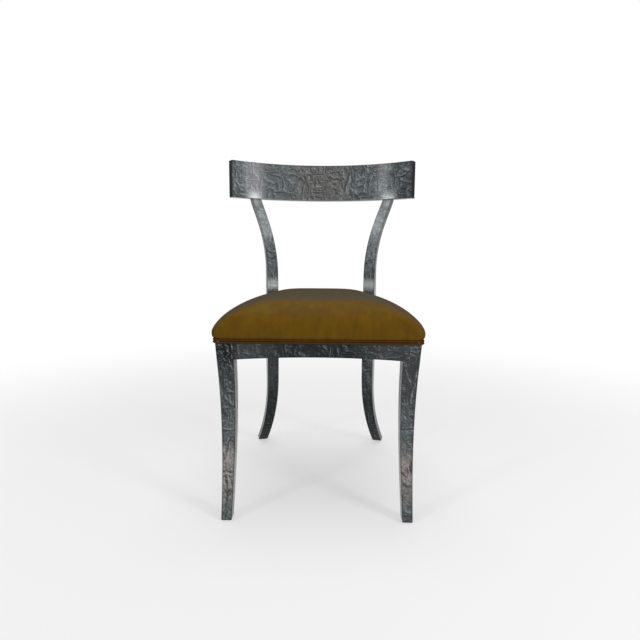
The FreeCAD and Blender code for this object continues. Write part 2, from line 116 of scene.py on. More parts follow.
class KLISMOS_PG_cushion(bpy.types.PropertyGroup):
    hide: colour("Hide", "Mustard-gold leather", "674C0B")
    shade: colour("Shade", "Browner patches of the hide", "61460B")
    # painted_sheen is a painted reflection: grey-brown painted into the colour of the seat's upper side
    # where it turns away
    painted_sheen: colour("Sheen", "Grey-brown sheen of the wax where the seat turns away", "504B40")
    front_half: length("Front half width", "Half the seat frame's width at the front", 230.5)
    rear_half: length("Rear half width", "Half the seat frame's width at the back", 145)
    depth: length("Depth", "Seat frame from front to back", 408)
    front: length("Front face", "Y of the seat frame's front face", -257.546)
    tuck: length("Tuck", "Height at which the leather goes behind the welt", 401)
    widest: length("Widest height", "Height of the cushion's widest line", 423)
    crown: length("Crown height", "Height of the top of the cushion", 501)
    bulge: length("Bulge", "How far the widest line stands outside the frame", 12.8)
    reach: length("Crown reach", "How far the top is drawn in from the widest line", 125)
    voxel: length("Voxel", "Size of the cloth's mesh", 5)
    cap: length("Cap", "Furthest that the cloth may move", 6)
    frames: IntProperty(name="Frames", description="Steps of the cloth simulation", default=20)


class KLISMOS_PG_welt(bpy.types.PropertyGroup):
    hide: colour("Hide", "Browner leather of the welts", "4C330E")
    diameter: length("Diameter", "Thickness of each cord", 5.4)
    inset: length("Inset", "Cord's middle inside the face of the frame, negative when outside", -5.4)
    corner: length("Corner", "Radius of the cord's turn at the front corners", 14.9)


class KLISMOS_PG_stage(bpy.types.PropertyGroup):
    floor: colour("Floor", "Pale studio floor", "EDEDED")
    focal: FloatProperty(name="Focal length", description="Lens in millimetres on a 36 mm sensor",
                         unit="CAMERA", default=27.28)
    pitch: angle("Pitch", "Camera's tilt down", 7.4)
    yaw: angle("Yaw", "Camera's turn to the left", 0.78)
    roll: angle("Roll", "Camera's lean", 0.4)
    eye: FloatVectorProperty(name="Eye", description="Camera's place", subtype="XYZ", unit="LENGTH",
                             default=(0.018, -1.3163, 0.5875))


# Shared helpers

def add_node(tree, kind, inputs=None, output=0, **settings):
    """Adds a node with its settings and links, and returns one output, or the node for None."""
    node = tree.nodes.new(kind)
    for key, value in settings.items():
        setattr(node, key, value)
    for key, value in (inputs or {}).items():
        if isinstance(value, bpy.types.NodeSocket):
            tree.links.new(value, node.inputs[key])
        else:
            node.inputs[key].default_value = value
    return node if output is None else node.outputs[output]


def new_material(name):
    """A new material with its node tree, its main shader and the place on the object."""
    material = bpy.data.materials.new(name)
    material.use_nodes = True
    tree = material.node_tree
    place = add_node(tree, "ShaderNodeTexCoord", output="Object")
    return material, tree, tree.nodes["Principled BSDF"], place


def feed(tree, shader, **inputs):
    """Sets or links inputs of the main shader, whose names have spaces for underscores."""
    for key, value in inputs.items():
        socket = shader.inputs[key.replace("_", " ")]
        if isinstance(value, bpy.types.NodeSocket):
            tree.links.new(value, socket)
        else:
            socket.default_value = value


def mask(tree, *spans, strength=1.0):
    """Where every span holds: a value, where it starts to count and where it counts in full."""
    share = strength
    for value, start, full in spans:
        inside = add_node(tree, "ShaderNodeMapRange", {
            "Value": value, "From Min": start, "From Max": full}, interpolation_type="SMOOTHSTEP")
        share = add_node(tree, "ShaderNodeMath", {0: inside, 1: share}, operation="MULTIPLY")
    return share


def coated(tree, body, *coats):
    """Lays coats over a colour: each is a mask, a colour and, where it isn't MIX, a blend."""
    for share, tint, *blend in coats:
        body = add_node(tree, "ShaderNodeMix", {0: share, 6: body, 7: tint}, output=2,
                        data_type="RGBA", blend_type=blend[0] if blend else "MIX")
    return body


def between(tree, value, start, full, low, high):
    """A finish that goes from low to high as a value goes from its start to its full reach."""
    share = mask(tree, (value, start, full), strength=high - low)
    return add_node(tree, "ShaderNodeMath", {0: share, 1: low}, operation="ADD")


def new_object(name, mesh, material):
    """Links a mesh into the scene as a piece with its material."""
    piece = bpy.data.objects.new(name, mesh)
    bpy.context.scene.collection.objects.link(piece)
    mesh.materials.append(material)
    return piece


def smoothstep(value, start, end):
    """0 before the start, 1 after the end, and an even curve between them."""
    share = min(max((value - start) / (end - start), 0.0), 1.0)
    return share * share * (3.0 - 2.0 * share)


# Frame

def creases(tree, place, angles, stretch, size):
    """Distance from the nearest crease, in parts of their spacing, on ground turned and stretched."""
    ground = add_node(tree, "ShaderNodeMapping", {
        "Vector": place, "Rotation": [math.radians(a) for a in angles], "Scale": stretch})
    return add_node(tree, "ShaderNodeTexVoronoi", {"Vector": ground, "Scale": 1 / size},
                    output="Distance", feature="DISTANCE_TO_EDGE")


def crumple(tree, place, look):
    """Height, crease lines and grain of crumpled leaf: long folds that run two ways, and crinkles."""
    drift = add_node(tree, "ShaderNodeTexNoise", {
        "Vector": place, "Scale": 0.9 / look.fold, "Detail": 2.0}, output="Color")
    drift = add_node(tree, "ShaderNodeVectorMath", {0: drift, 1: (0.5, 0.5, 0.5)}, operation="SUBTRACT")
    drift = add_node(tree, "ShaderNodeVectorMath", {0: drift, "Scale": look.fold * 0.45},
                     operation="SCALE")
    bent = add_node(tree, "ShaderNodeVectorMath", {0: place, 1: drift}, operation="ADD")
    ground = add_node(tree, "ShaderNodeMapping", {
        "Vector": place, "Rotation": [math.radians(a) for a in (40, 10, 70)]})
    patches = add_node(tree, "ShaderNodeTexNoise", {
        "Vector": ground, "Scale": 1 / look.patch, "Detail": 2.0})
    grain = add_node(tree, "ShaderNodeTexNoise", {
        "Vector": place, "Scale": 1 / look.grain, "Detail": 3.0, "Roughness": 0.75})
    # the large folds lie about half of look.fold apart and run about twice it long, one way in
    # some areas and the other way in the rest
    folds = creases(tree, bent, (10, 42, 0), (1.0, 0.7, 0.22), look.fold * 0.5)
    crossed = creases(tree, bent, (0, -50, 15), (0.25, 0.7, 1.0), look.fold * 0.45)
    crinkles = creases(tree, bent, (25, 20, 50), (1, 1, 1), look.crinkle)
    here, there = (patches, 0.46, 0.60), (patches, 0.50, 0.36)

    # creases of such leaf are taken to be under 1 mm wide, and most are drawn 2 to 3 mm wide so
    # that they show
    height = add_node(tree, "ShaderNodeMath", {0: grain, 1: 3.0}, operation="MULTIPLY")
    for rise in (mask(tree, (folds, 0.0, 0.16), here, strength=1.7),
                 mask(tree, (crossed, 0.0, 0.16), there, strength=1.7),
                 mask(tree, (crinkles, 0.0, 0.30), strength=0.3)):
        height = add_node(tree, "ShaderNodeMath", {0: height, 1: rise}, operation="ADD")
    lines = 0.0
    for cut in (mask(tree, (folds, 0.08, 0.01), here),
                mask(tree, (crossed, 0.08, 0.01), there),
                mask(tree, (crinkles, 0.10, 0.02), strength=0.35)):
        lines = add_node(tree, "ShaderNodeMath", {0: lines, 1: cut}, operation="MAXIMUM")
    return height, lines, grain


def leaf_material(look, name, painted_shade):
    """Pewter-coloured leaf laid crumpled on carved wood, darkened with glazing and lacquered.

    The leaf's folds break the reflections. Each fold has painted shade on one side and a
    painted highlight on the other, and dark glazing outlines every arris.
    The lacquer gives a soft shine over all."""
    material, tree, shader, place = new_material(name)
    beside = add_node(tree, "ShaderNodeVectorMath", {0: place, 1: look.light_offset}, operation="ADD")
    height, lines, grain = crumple(tree, place, look)
    relief_light_and_shade = add_node(tree, "ShaderNodeMath", {0: height, 1: crumple(tree, beside, look)[0]},
                     operation="SUBTRACT")
    clouds = add_node(tree, "ShaderNodeTexNoise", {
        "Vector": place, "Scale": 1 / look.cloud, "Detail": 4.0, "Roughness": 0.7})
    mottle = between(tree, grain, 0.3, 0.7, 0.52, 1.48)

    # where on the chair each finish and each painted shade and highlight lies: x, y and z in metres,
    # and the faces' normals in parts of 1
    x, y, z = add_node(tree, "ShaderNodeSeparateXYZ", {0: place}, output=None).outputs
    across = add_node(tree, "ShaderNodeMath", {0: x}, operation="ABSOLUTE")
    normal = add_node(tree, "ShaderNodeNewGeometry", output="Normal")
    face_x, face_y, _ = add_node(tree, "ShaderNodeSeparateXYZ", {0: normal}, output=None).outputs
    sideways = add_node(tree, "ShaderNodeMath", {0: face_x}, operation="ABSOLUTE")
    board, front, back = (z, 0.70, 0.78), (y, -0.22, -0.25), (y, 0.0, 0.08)
    right, forward, level = (x, 0.03, -0.03), (face_y, -0.2, -0.6), (sideways, 0.6, 0.4)
    middle = mask(tree, (across, 0.15, 0.03), board, strength=0.8)
    # painted shade at the tablet's left end
    left_end_shade = mask(tree, (x, 0.21, 0.25), board, strength=0.75)
    right_cloud = mask(tree, (across, 0.08, 0.12), (across, 0.19, 0.15), right, board, strength=0.3)
    # painted shade on the tablet's end faces
    ends = mask(tree, (sideways, 0.68, 0.74), (across, 0.262, 0.266), board, strength=0.85)
    # painted highlights where the stiles meet the tablet and the seat
    top_joint_highlights = mask(tree, (across, 0.180, 0.206), (across, 0.238, 0.208),
                      (z, 0.735, 0.758), (z, 0.800, 0.762), forward, strength=0.95)
    seat_joint_highlights = mask(tree, back, (z, 0.484, 0.504), (z, 0.532, 0.510), forward, strength=0.7)
    # painted highlight on the fronts of the stiles
    stiles = mask(tree, (z, 0.58, 0.66), (z, 0.76, 0.70), forward, strength=0.13)
    # painted shade on the sideways faces of the stiles
    stile_side_shade = mask(tree, (sideways, 0.60, 0.80), (z, 0.46, 0.56), strength=0.8)
    # painted shade: the rear legs darker towards the floor, and the right one darker below the seat
    rear_foot_shade = mask(tree, back, (z, 0.38, 0.03), strength=0.62)
    right_rear_leg_shade = mask(tree, back, right, (z, 0.46, 0.40), strength=0.6)
    # painted shade on the upper part of the front legs
    leg_head_shade = mask(tree, front, (z, 0.18, 0.34))
    # painted shade on the top of one front leg and on the middle of the front rail
    right_head_shade = mask(tree, front, (z, 0.30, 0.38), (x, -0.17, -0.20), strength=0.75)
    rail_middle_shade = mask(tree, front, (across, 0.17, 0.06), strength=0.55)
    # painted highlight: a pinkish patch on the shins of the front legs, broken up by the clouds
    shins = mask(tree, front, (z, 0.0, 0.11), (z, 0.185, 0.125), (clouds, 0.15, 0.60), strength=0.75)

    # dark glazing left along the arrises, drawn wider than it is, a dark line along the tablet's
    # upward-turned edge, and a painted reflection of the floor, the light line along the tablet's foot
    round_edge = add_node(tree, "ShaderNodeBevel", {"Radius": look.arris * 3}, samples=6)
    round_z = add_node(tree, "ShaderNodeSeparateXYZ", {0: round_edge}, output="Z")
    agreement = add_node(tree, "ShaderNodeVectorMath", {0: round_edge, 1: normal}, output="Value",
                         operation="DOT_PRODUCT")
    arrises = mask(tree, (agreement, 0.999, 0.96), strength=0.9)
    top_line = mask(tree, (round_z, 0.03, 0.15), level, board, strength=0.9)
    # painted reflection of the floor along the tablet's foot
    foot_reflection = mask(tree, (round_z, -0.05, -0.3), level, board, strength=0.55)

    body = coated(
        tree, look.deep,
        (mask(tree, (clouds, 0.32, 0.68)), look.cool),
        (middle, look.warm),
        (left_end_shade, look.deep),
        (right_cloud, look.deep),
        # painted highlight on the shins
        (shins, look.highlit),
        # painted shade over the rails and the upper part of the front legs
        (painted_shade, look.shaded_leaf),
        (leg_head_shade, look.shaded_leaf),
        (rail_middle_shade, look.crease),
        (right_head_shade, look.crease),
        # painted shade on one side of each fold and a painted highlight on the other
        (mask(tree, (relief_light_and_shade, 0.0, 0.6), strength=0.95), look.crease),
        (mask(tree, (relief_light_and_shade, 0.0, -0.7), strength=0.6 - 0.4 * painted_shade), look.painted_highlight),
        (mask(tree, (lines, 0.0, 1.0), strength=0.75), look.crease),
        # painted highlight on the stiles
        (stiles, look.painted_highlight),
        (1.0, mottle, "MULTIPLY"),
        (top_joint_highlights, look.joint_highlight_colour),
        (seat_joint_highlights, look.joint_highlight_colour),
        (rear_foot_shade, look.crease),
        (right_rear_leg_shade, look.crease),
        (stile_side_shade, look.crease),
        (ends, look.crease),
        (arrises, look.crease),
        (top_line, look.crease),
        (foot_reflection, look.painted_highlight))

    # where shade is painted (the tablet's ends and left end, the stiles' sides, the rear legs, the
    # rail's middle and one leg's top) the surface is also duller: more of it is dark metal, with less
    # lacquer
    dull = mask(tree, (left_end_shade, 0.0, 1.0), strength=0.5)
    for part in (stile_side_shade, ends, rear_foot_shade, rail_middle_shade, right_head_shade):
        dull = add_node(tree, "ShaderNodeMath", {0: dull, 1: part}, operation="MAXIMUM")
    eased = add_node(tree, "ShaderNodeBevel", {"Radius": look.arris}, samples=6)
    bump = add_node(tree, "ShaderNodeBump", {
        "Strength": 0.8 - 0.3 * painted_shade, "Distance": 0.7 * MM, "Height": height, "Normal": eased})
    rough = add_node(tree, "ShaderNodeMath", {
        0: between(tree, grain, 0.25, 0.75, 0.28, 0.40),
        1: mask(tree, (ends, 0.0, 1.0), strength=0.3)}, operation="ADD")
    feed(tree, shader, Base_Color=body, Roughness=rough, Normal=bump, Coat_Roughness=0.14,
         Metallic=between(tree, dull, 0.0, 1.0, 0.5, 1.0),
         Coat_Weight=between(tree, dull, 0.0, 1.0, 0.4, 0.0))
    return material


LEAFED = ("front_leg_left", "front_leg_right", "rear_leg_left", "rear_leg_right", "tablet")
# rails, which get the material with painted shade
RAILS_WITH_PAINTED_SHADE = ("front_seat_rail", "rear_seat_rail", "side_seat_rail_left", "side_seat_rail_right")


def set_material(names, material):
    """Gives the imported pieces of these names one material."""
    for name in names:
        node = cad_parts[name]
        for slot in node.material_slots:
            slot.material = material


class KLISMOS_OT_frame(bpy.types.Operator):
    """Leafs and lacquers the legs, the rails and the tablet"""
    bl_idname = "klismos.frame"
    bl_label = "Leaf the frame"

    def execute(self, context):
        look = context.scene.klismos_leaf
        set_material(LEAFED, leaf_material(look, "lacquered_pewter_leaf", 0.0))
        set_material(RAILS_WITH_PAINTED_SHADE, leaf_material(look, "shade_painted_pewter_leaf", look.painted_shade))
        return {"FINISHED"}


# Seat

# Rear leg where it passes the seat: its turn in degrees, its place and its half sizes in millimetres
LEG_TURN = 13
LEG_FROM_BACK, LEG_FROM_SIDE = 24.5, 5.4
LEG_HALF_DEPTH, LEG_HALF_WIDTH = 17, 16.5

# Cushion's form: its rings, the powers of its curves and its corners' radii in millimetres
RINGS_BELOW, RINGS_ABOVE = 6, 26
TUCK_CURVE, CROWN_CURVE, SHOULDER_CURVE = 3.0, 1.6, 1.9
CORNER_LOW, CORNER_HIGH = 14, 50
REAR_CROWN, REAR_BULGE, REAR_TAPER = 1.6, 0.5, 0.55

# Hide's pattern in millimetres; its pores are well under 1 mm across and are drawn coarser to show
PORE, CLOUD, STREAK = 1.7, 62.5, 13.33


def seat_outline(size, inset, radius, corner_points=10, side_points=40, rear_inset=None, taper=0.0):
    """Points of the seat's plan drawn in by an inset and narrowed to the rear, with round corners."""
    rear_inset = inset if rear_inset is None else rear_inset
    slope = (size.front_half - size.rear_half + taper) / size.depth
    lean = math.atan(slope)

    def side_x(y):
        return size.front_half - slope * y - inset / math.cos(lean)

    front_y, rear_y = inset, size.depth - rear_inset
    corners = [
        Vector((side_x(front_y), front_y)), Vector((side_x(rear_y), rear_y)),
        Vector((-side_x(rear_y), rear_y)), Vector((-side_x(front_y), front_y))]
    points = []
    for index, corner in enumerate(corners):
        following, beyond = corners[(index + 1) % 4], corners[(index + 2) % 4]
        back = (corners[index - 1] - corner).normalized()
        ahead = (following - corner).normalized()
        half = back.angle(ahead) / 2
        centre = corner + (back + ahead).normalized() * (radius / math.sin(half))
        start = corner + back * (radius / math.tan(half)) - centre
        turn = math.pi - 2 * half
        for step in range(corner_points + 1):
            points.append(centre + Matrix.Rotation(turn * step / corner_points, 2) @ start)
        next_half = (-ahead).angle((beyond - following).normalized()) / 2
        begin, end = points[-1], following - ahead * (radius / math.tan(next_half))
        for step in range(1, side_points):
            points.append(begin.lerp(end, step / side_points))
    return [Vector((p.x, p.y + size.front)) for p in points]


def profile(size, step):
    """Height and inset of the cushion: -1 at the tuck, 0 at the widest line, 1 at the crown."""
    if step < 0:
        height = size.widest + (size.widest - size.tuck) * step
        return height, (size.bulge + 0.1 * MM) * (-step) ** TUCK_CURVE - size.bulge
    rise = math.sin(step * math.pi / 2)
    height = size.widest + (size.crown - size.widest) * rise
    fall = max(1.0 - rise ** CROWN_CURVE, 0.0) ** (1.0 / SHOULDER_CURVE)
    return height, size.reach * (1.0 - fall) - size.bulge


def cushion_mesh(size, skin):
    """Closed crowned form, drawn inwards by a skin's thickness."""
    rings = []
    for index in range(-RINGS_BELOW, RINGS_ABOVE + 1):
        step = index / (RINGS_BELOW if index < 0 else RINGS_ABOVE)
        height, inset = profile(size, step)
        low, high = profile(size, max(step - 0.01, -1)), profile(size, min(step + 0.01, 1))
        run, rise = high[1] - low[1], high[0] - low[0]
        reach = math.hypot(run, rise)
        height -= skin * run / reach
        inset += skin * rise / reach
        share = (height - size.tuck) / (size.crown - size.tuck)
        radius = (CORNER_LOW + (CORNER_HIGH - CORNER_LOW) * min(max(share, 0.0), 1.0)) * MM
        outline = seat_outline(
            size, inset, radius, rear_inset=inset * (REAR_CROWN if inset > 0 else REAR_BULGE),
            taper=REAR_TAPER * max(-inset, 0.0))
        rings.append([(p.x, p.y, height) for p in outline])
    mesh = bmesh.new()
    loops = [[mesh.verts.new(point) for point in ring] for ring in rings]
    count = len(loops[0])
    for low, high in zip(loops, loops[1:]):
        for index in range(count):
            follow = (index + 1) % count
            mesh.faces.new((low[index], low[follow], high[follow], high[index]))
    mesh.faces.new(loops[-1])
    mesh.faces.new(list(reversed(loops[0])))
    data = bpy.data.meshes.new("cushion_form")
    mesh.to_mesh(data)
    mesh.free()
    return data


def leg_notch(size):
    """Middle of the left rear leg at the seat, and its outward and backward directions."""
    turn = math.radians(LEG_TURN)
    back = Vector((math.sin(turn), math.cos(turn)))
    side = Vector((back.y, -back.x))
    slope = (size.front_half - size.rear_half) / size.depth
    root_y = size.depth - LEG_FROM_BACK * MM
    root = Vector((size.front_half - slope * root_y - LEG_FROM_SIDE * MM, root_y + size.front))
    return root, side, back


def fit_round_legs(size, point, gap):
    """Moves a point of the leather out of the room that a rear leg takes."""
    root, side, back = leg_notch(size)
    sign = 1.0 if point.x >= 0 else -1.0
    flat = Vector((point.x * sign, point.y)) - root
    behind = flat.dot(back) + LEG_HALF_DEPTH * MM + gap
    beside = flat.dot(side) + LEG_HALF_WIDTH * MM + gap
    if behind > 0 and beside > 0:
        if behind < beside:
            flat -= back * behind
        else:
            flat -= side * beside
        flat += root
        point.x, point.y = flat.x * sign, flat.y


def inflate(piece, size):
    """Blows the cushion up as cloth, pinned where it is tacked, and caps how far it moves."""
    remesh = piece.modifiers.new("Remesh", "REMESH")
    remesh.mode = "VOXEL"
    remesh.voxel_size = size.voxel
    bake_modifiers(piece)
    before = [v.co.copy() for v in piece.data.vertices]
    pinned = piece.vertex_groups.new(name="tacked")
    # held fast up to 2 mm above the tuck, and free from 16 mm
    for vertex in piece.data.vertices:
        hold = 1.0 - smoothstep(vertex.co.z, size.tuck + 2 * MM, size.tuck + 16 * MM)
        pinned.add([vertex.index], hold, "REPLACE")
    cloth = piece.modifiers.new("Cloth", "CLOTH")
    cloth.settings.use_pressure = True
    cloth.settings.uniform_pressure_force = 4.0
    cloth.settings.vertex_group_mass = "tacked"
    cloth.settings.effector_weights.gravity = 0.0
    cloth.settings.tension_stiffness = 25.0
    cloth.settings.compression_stiffness = 25.0
    cloth.settings.bending_stiffness = 2.0
    cloth.point_cache.frame_end = size.frames
    scene = bpy.context.scene
    for step in range(1, size.frames + 1):
        scene.frame_set(step)
    bake_modifiers(piece)
    scene.frame_set(1)
    for vertex, start in zip(piece.data.vertices, before):
        move = vertex.co - start
        if move.length > size.cap:
            vertex.co = start + move.normalized() * size.cap
    piece.vertex_groups.clear()


def bake_modifiers(piece):
    """Replaces a piece's mesh with what its modifiers make of it."""
    graph = bpy.context.evaluated_depsgraph_get()
    made = bpy.data.meshes.new_from_object(piece.evaluated_get(graph))
    materials = list(piece.data.materials)
    piece.modifiers.clear()
    piece.data = made
    if not len(made.materials):
        for material in materials:
            made.materials.append(material)


def sculpt(piece, size):
    """Puckers above the welt and a pleat at each front corner, then room for the rear legs."""
    corner = math.atan2(size.front_half, size.depth / 2)
    middle = size.front + size.depth / 2
    for vertex in piece.data.vertices:
        point = vertex.co
        bearing = math.atan2(point.x, middle - point.y)
        outward = Vector((math.sin(bearing), -math.cos(bearing), 0))
        above = point.z - size.tuck
        fade = smoothstep(above, 2 * MM, 9 * MM) * (1.0 - smoothstep(above, 16 * MM, 44 * MM))
        # puckers 16 and 8 mm apart, then slack over 110 mm, then the pleats
        flat = Vector((point.x, point.y, 0.0))
        ripple = noise.noise(flat * 62.0) + 0.5 * noise.noise(flat * 130.0 + Vector((7, 3, 1)))
        shift = 0.8 * MM * ripple * fade
        slack = noise.noise(Vector((point.x * 9, point.y * 9, point.z * 14)) + Vector((2, 5, 8)))
        shift += 0.7 * MM * slack * smoothstep(above, 10 * MM, 40 * MM)
        near = (abs(bearing) - corner) * 0.3
        pleat = math.exp(-(near / (2.6 * MM)) ** 2) * (1.0 - smoothstep(above, 18 * MM, 46 * MM))
        shift -= 2.2 * MM * pleat
        vertex.co = point + outward * shift
    for vertex in piece.data.vertices:
        fit_round_legs(size, vertex.co, 1.2 * MM)


def hide_material(name, hide, shade, painted_sheen):
    """Full-grain leather, dyed through and lightly waxed: its pores scatter the light, and a
    painted sheen, a grey-brown painted reflection, greys the upper side where it turns away."""
    material, tree, shader, place = new_material(name)
    pores = add_node(tree, "ShaderNodeTexVoronoi", {"Vector": place, "Scale": 1 / (PORE * MM)},
                     output="Distance", feature="DISTANCE_TO_EDGE")
    cloud = add_node(tree, "ShaderNodeTexNoise", {
        "Vector": place, "Scale": 1 / (CLOUD * MM), "Detail": 4.0})
    # faint upright streaks from stretching, six times as tall as they are wide
    tall = add_node(tree, "ShaderNodeVectorMath", {0: place, 1: (1.0, 1.0, 0.16)}, operation="MULTIPLY")
    streak = add_node(tree, "ShaderNodeTexNoise", {
        "Vector": tall, "Scale": 1 / (STREAK * MM), "Detail": 3.0})
    facing = add_node(tree, "ShaderNodeLayerWeight", {"Blend": 0.5}, output="Facing")
    normal = add_node(tree, "ShaderNodeNewGeometry", output="Normal")
    upward = add_node(tree, "ShaderNodeSeparateXYZ", {0: normal}, output="Z")
    body = coated(
        tree, shade,
        (mask(tree, (cloud, 0.35, 0.68)), hide),
        (1.0, between(tree, streak, 0.3, 0.7, 0.91, 1.08), "MULTIPLY"),
        (1.0, between(tree, pores, 0.0, 0.18, 0.86, 1.0), "MULTIPLY"),
        # painted sheen: a painted reflection greying the upper side where it turns away
        (mask(tree, (facing, 0.35, 0.72), (upward, 0.35, 0.75), strength=0.9), painted_sheen))
    bump = add_node(tree, "ShaderNodeBump", {"Strength": 0.5, "Distance": 0.12 * MM, "Height": pores})
    # the coat alone carries the shine, so that the far edge of the seat isn't bleached
    feed(tree, shader, Base_Color=body, Roughness=between(tree, cloud, 0.3, 0.7, 0.40, 0.50),
         Normal=bump, IOR=1.5, Specular_IOR_Level=0.0, Coat_Roughness=0.45,
         Coat_Weight=mask(tree, (facing, 0.8, 0.3), strength=0.12))
    return material


class KLISMOS_OT_cushion(bpy.types.Operator):
    """Builds the crowned leather seat"""
    bl_idname = "klismos.cushion"
    bl_label = "Upholster the seat"

    def execute(self, context):
        size = context.scene.klismos_cushion
        material = hide_material("waxed_mustard_leather", size.hide, size.shade, size.painted_sheen)
        piece = new_object("leather_cushion", cushion_mesh(size, 1.0 * MM), material)
        inflate(piece, size)
        soften = piece.modifiers.new("Smooth", "SMOOTH")
        soften.factor = 0.5
        soften.iterations = 3
        finer = piece.modifiers.new("Subdivision", "SUBSURF")
        finer.levels = finer.render_levels = 1
        bake_modifiers(piece)
        sculpt(piece, size)
        for polygon in piece.data.polygons:
            polygon.use_smooth = True
        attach(piece, "root")
        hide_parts("seat_cover", "seat_foam")
        return {"FINISHED"}


def tube(name, path, radius, material, facets=16):
    """Leather cord swept level along a path, puckered a little over its core."""
    mesh = bmesh.new()
    rings = []
    run = 0.0
    for index, point in enumerate(path):
        ahead = (path[min(index + 1, len(path) - 1)] - path[max(index - 1, 0)]).normalized()
        side = Vector((-ahead.y, ahead.x, 0))
        if index:
            run += (point - path[index - 1]).length
        ring = []
        for facet in range(facets):
            turn = 2 * math.pi * facet / facets
            # puckers about 4 mm apart along the cord
            pucker = 1.0 + 0.03 * noise.noise(Vector((run * 230, facet * 0.35, 0))) - 0.02
            arm = side * math.cos(turn) + Vector((0, 0, 1)) * math.sin(turn)
            ring.append(mesh.verts.new(point + arm * (radius * pucker)))
        rings.append(ring)
    for low, high in zip(rings, rings[1:]):
        for facet in range(facets):
            follow = (facet + 1) % facets
            mesh.faces.new((low[facet], low[follow], high[follow], high[facet]))
    mesh.faces.new(list(reversed(rings[0])))
    mesh.faces.new(rings[-1])
    bmesh.ops.recalc_face_normals(mesh, faces=mesh.faces)
    for face in mesh.faces:
        face.smooth = len(face.verts) == 4
    data = bpy.data.meshes.new(name)
    mesh.to_mesh(data)
    mesh.free()
    return new_object(name, data, material)


def welt_path(size, welt, level, gap=1.6):
    """From one rear leg round the front of the seat to the other, with a gap in millimetres to each."""
    outline = seat_outline(size, welt.inset, welt.corner, corner_points=12, side_points=110)
    root, side, back = leg_notch(size)
    points = []
    for point in outline:
        flat = Vector((abs(point.x), point.y)) - root
        if flat.dot(back) < -(LEG_HALF_DEPTH + gap) * MM:
            points.append(point)
    start = max(range(len(points)), key=lambda i: (points[i] - points[i - 1]).length)
    points = points[start:] + points[:start]
    return [Vector((p.x, p.y, level)) for p in points]


class KLISMOS_OT_welts(bpy.types.Operator):
    """Lays the double welt round the seat"""
    bl_idname = "klismos.welts"
    bl_label = "Lay the welts"

    def execute(self, context):
        size = context.scene.klismos_cushion
        welt = context.scene.klismos_welt
        material = hide_material("brown_welt_leather", welt.hide, welt.hide, welt.hide)
        for place in ("lower", "upper"):
            low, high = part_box(place + "_welt")
            level = (low[2] + high[2]) / 2
            path = welt_path(size, welt, level)
            piece = tube(place + "_cord", path, welt.diameter / 2, material)
            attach(piece, "root")
            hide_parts(place + "_welt")
            low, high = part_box("rear_" + place + "_welt")
            y = (low[1] + high[1]) / 2
            steps = 90
            path = [Vector((low[0] + (high[0] - low[0]) * i / steps, y, level))
                    for i in range(steps + 1)]
            piece = tube("rear_" + place + "_cord", path, welt.diameter / 2, material)
            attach(piece, "root")
            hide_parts("rear_" + place + "_welt")
        return {"FINISHED"}


# Underside

def beech_material():
    """Sawn beech: a plain pale brown with short flecks along its grain."""
    material, tree, shader, place = new_material("sawn_beech")
    along = add_node(tree, "ShaderNodeVectorMath", {0: place, 1: (0.08, 1.0, 1.0)},
                     operation="MULTIPLY")
    # flecks 2.4 mm apart and twelve times as long, coarser and longer than beech has, to show
    fibre = add_node(tree, "ShaderNodeTexNoise", {
        "Vector": along, "Scale": 1 / (2.38 * MM), "Detail": 5.0})
    body = coated(tree, linear("A67C52"), (mask(tree, (fibre, 0.35, 0.65)), linear("C79E70")))
    bump = add_node(tree, "ShaderNodeBump", {"Strength": 0.3, "Distance": 0.1 * MM, "Height": fibre})
    feed(tree, shader, Base_Color=body, Roughness=0.65, Normal=bump)
    return material


def plywood_material():
    """Birch plywood: pale faces, and thin brown and cream plies on its edge."""
    material, tree, shader, place = new_material("birch_plywood")
    # plies of about 1.5 mm; the fibres are drawn far coarser than birch has, so that they show
    plies = add_node(tree, "ShaderNodeTexWave", {"Vector": place, "Scale": 0.5 / (1.5 * MM) / math.pi},
                     output="Fac", bands_direction="Z")
    along = add_node(tree, "ShaderNodeVectorMath", {0: place, 1: (1.0, 0.07, 1.0)},
                     operation="MULTIPLY")
    fibre = add_node(tree, "ShaderNodeTexNoise", {
        "Vector": along, "Scale": 1 / (3.85 * MM), "Detail": 5.0})
    body = coated(tree, linear("CBAA7C"),
                  (mask(tree, (plies, 0.0, 1.0), strength=0.5), linear("9C7548")),
                  (mask(tree, (fibre, 0.0, 1.0), strength=0.35), linear("A98657")))
    feed(tree, shader, Base_Color=body, Roughness=0.6)
    return material


def zinc_material():
    """Zinc-plated steel screws: a cool metal with faint turning marks."""
    material, tree, shader, place = new_material("zinc_plated_steel")
    # such marks are a fraction of a millimetre apart and are drawn at 1.1 mm so that they show
    marks = add_node(tree, "ShaderNodeTexNoise", {
        "Vector": place, "Scale": 1 / (1.11 * MM), "Detail": 2.0})
    body = coated(tree, linear("B9BBB4"), (marks, linear("C9CAC6")))
    feed(tree, shader, Base_Color=body, Metallic=1.0,
         Roughness=between(tree, marks, 0.3, 0.7, 0.28, 0.42))
    return material


def nylon_material():
    """Moulded nylon glides: dark, slightly waxy and scuffed by the floor."""
    material, tree, shader, place = new_material("moulded_nylon")
    # scuffs of about 1.4 mm
    scuffs = add_node(tree, "ShaderNodeTexNoise", {
        "Vector": place, "Scale": 1 / (1.43 * MM), "Detail": 4.0})
    body = coated(tree, linear("2B2926"), (mask(tree, (scuffs, 0.5, 0.75)), linear("45413C")))
    feed(tree, shader, Base_Color=body, IOR=1.53,
         Roughness=between(tree, scuffs, 0.3, 0.7, 0.4, 0.6))
    return material


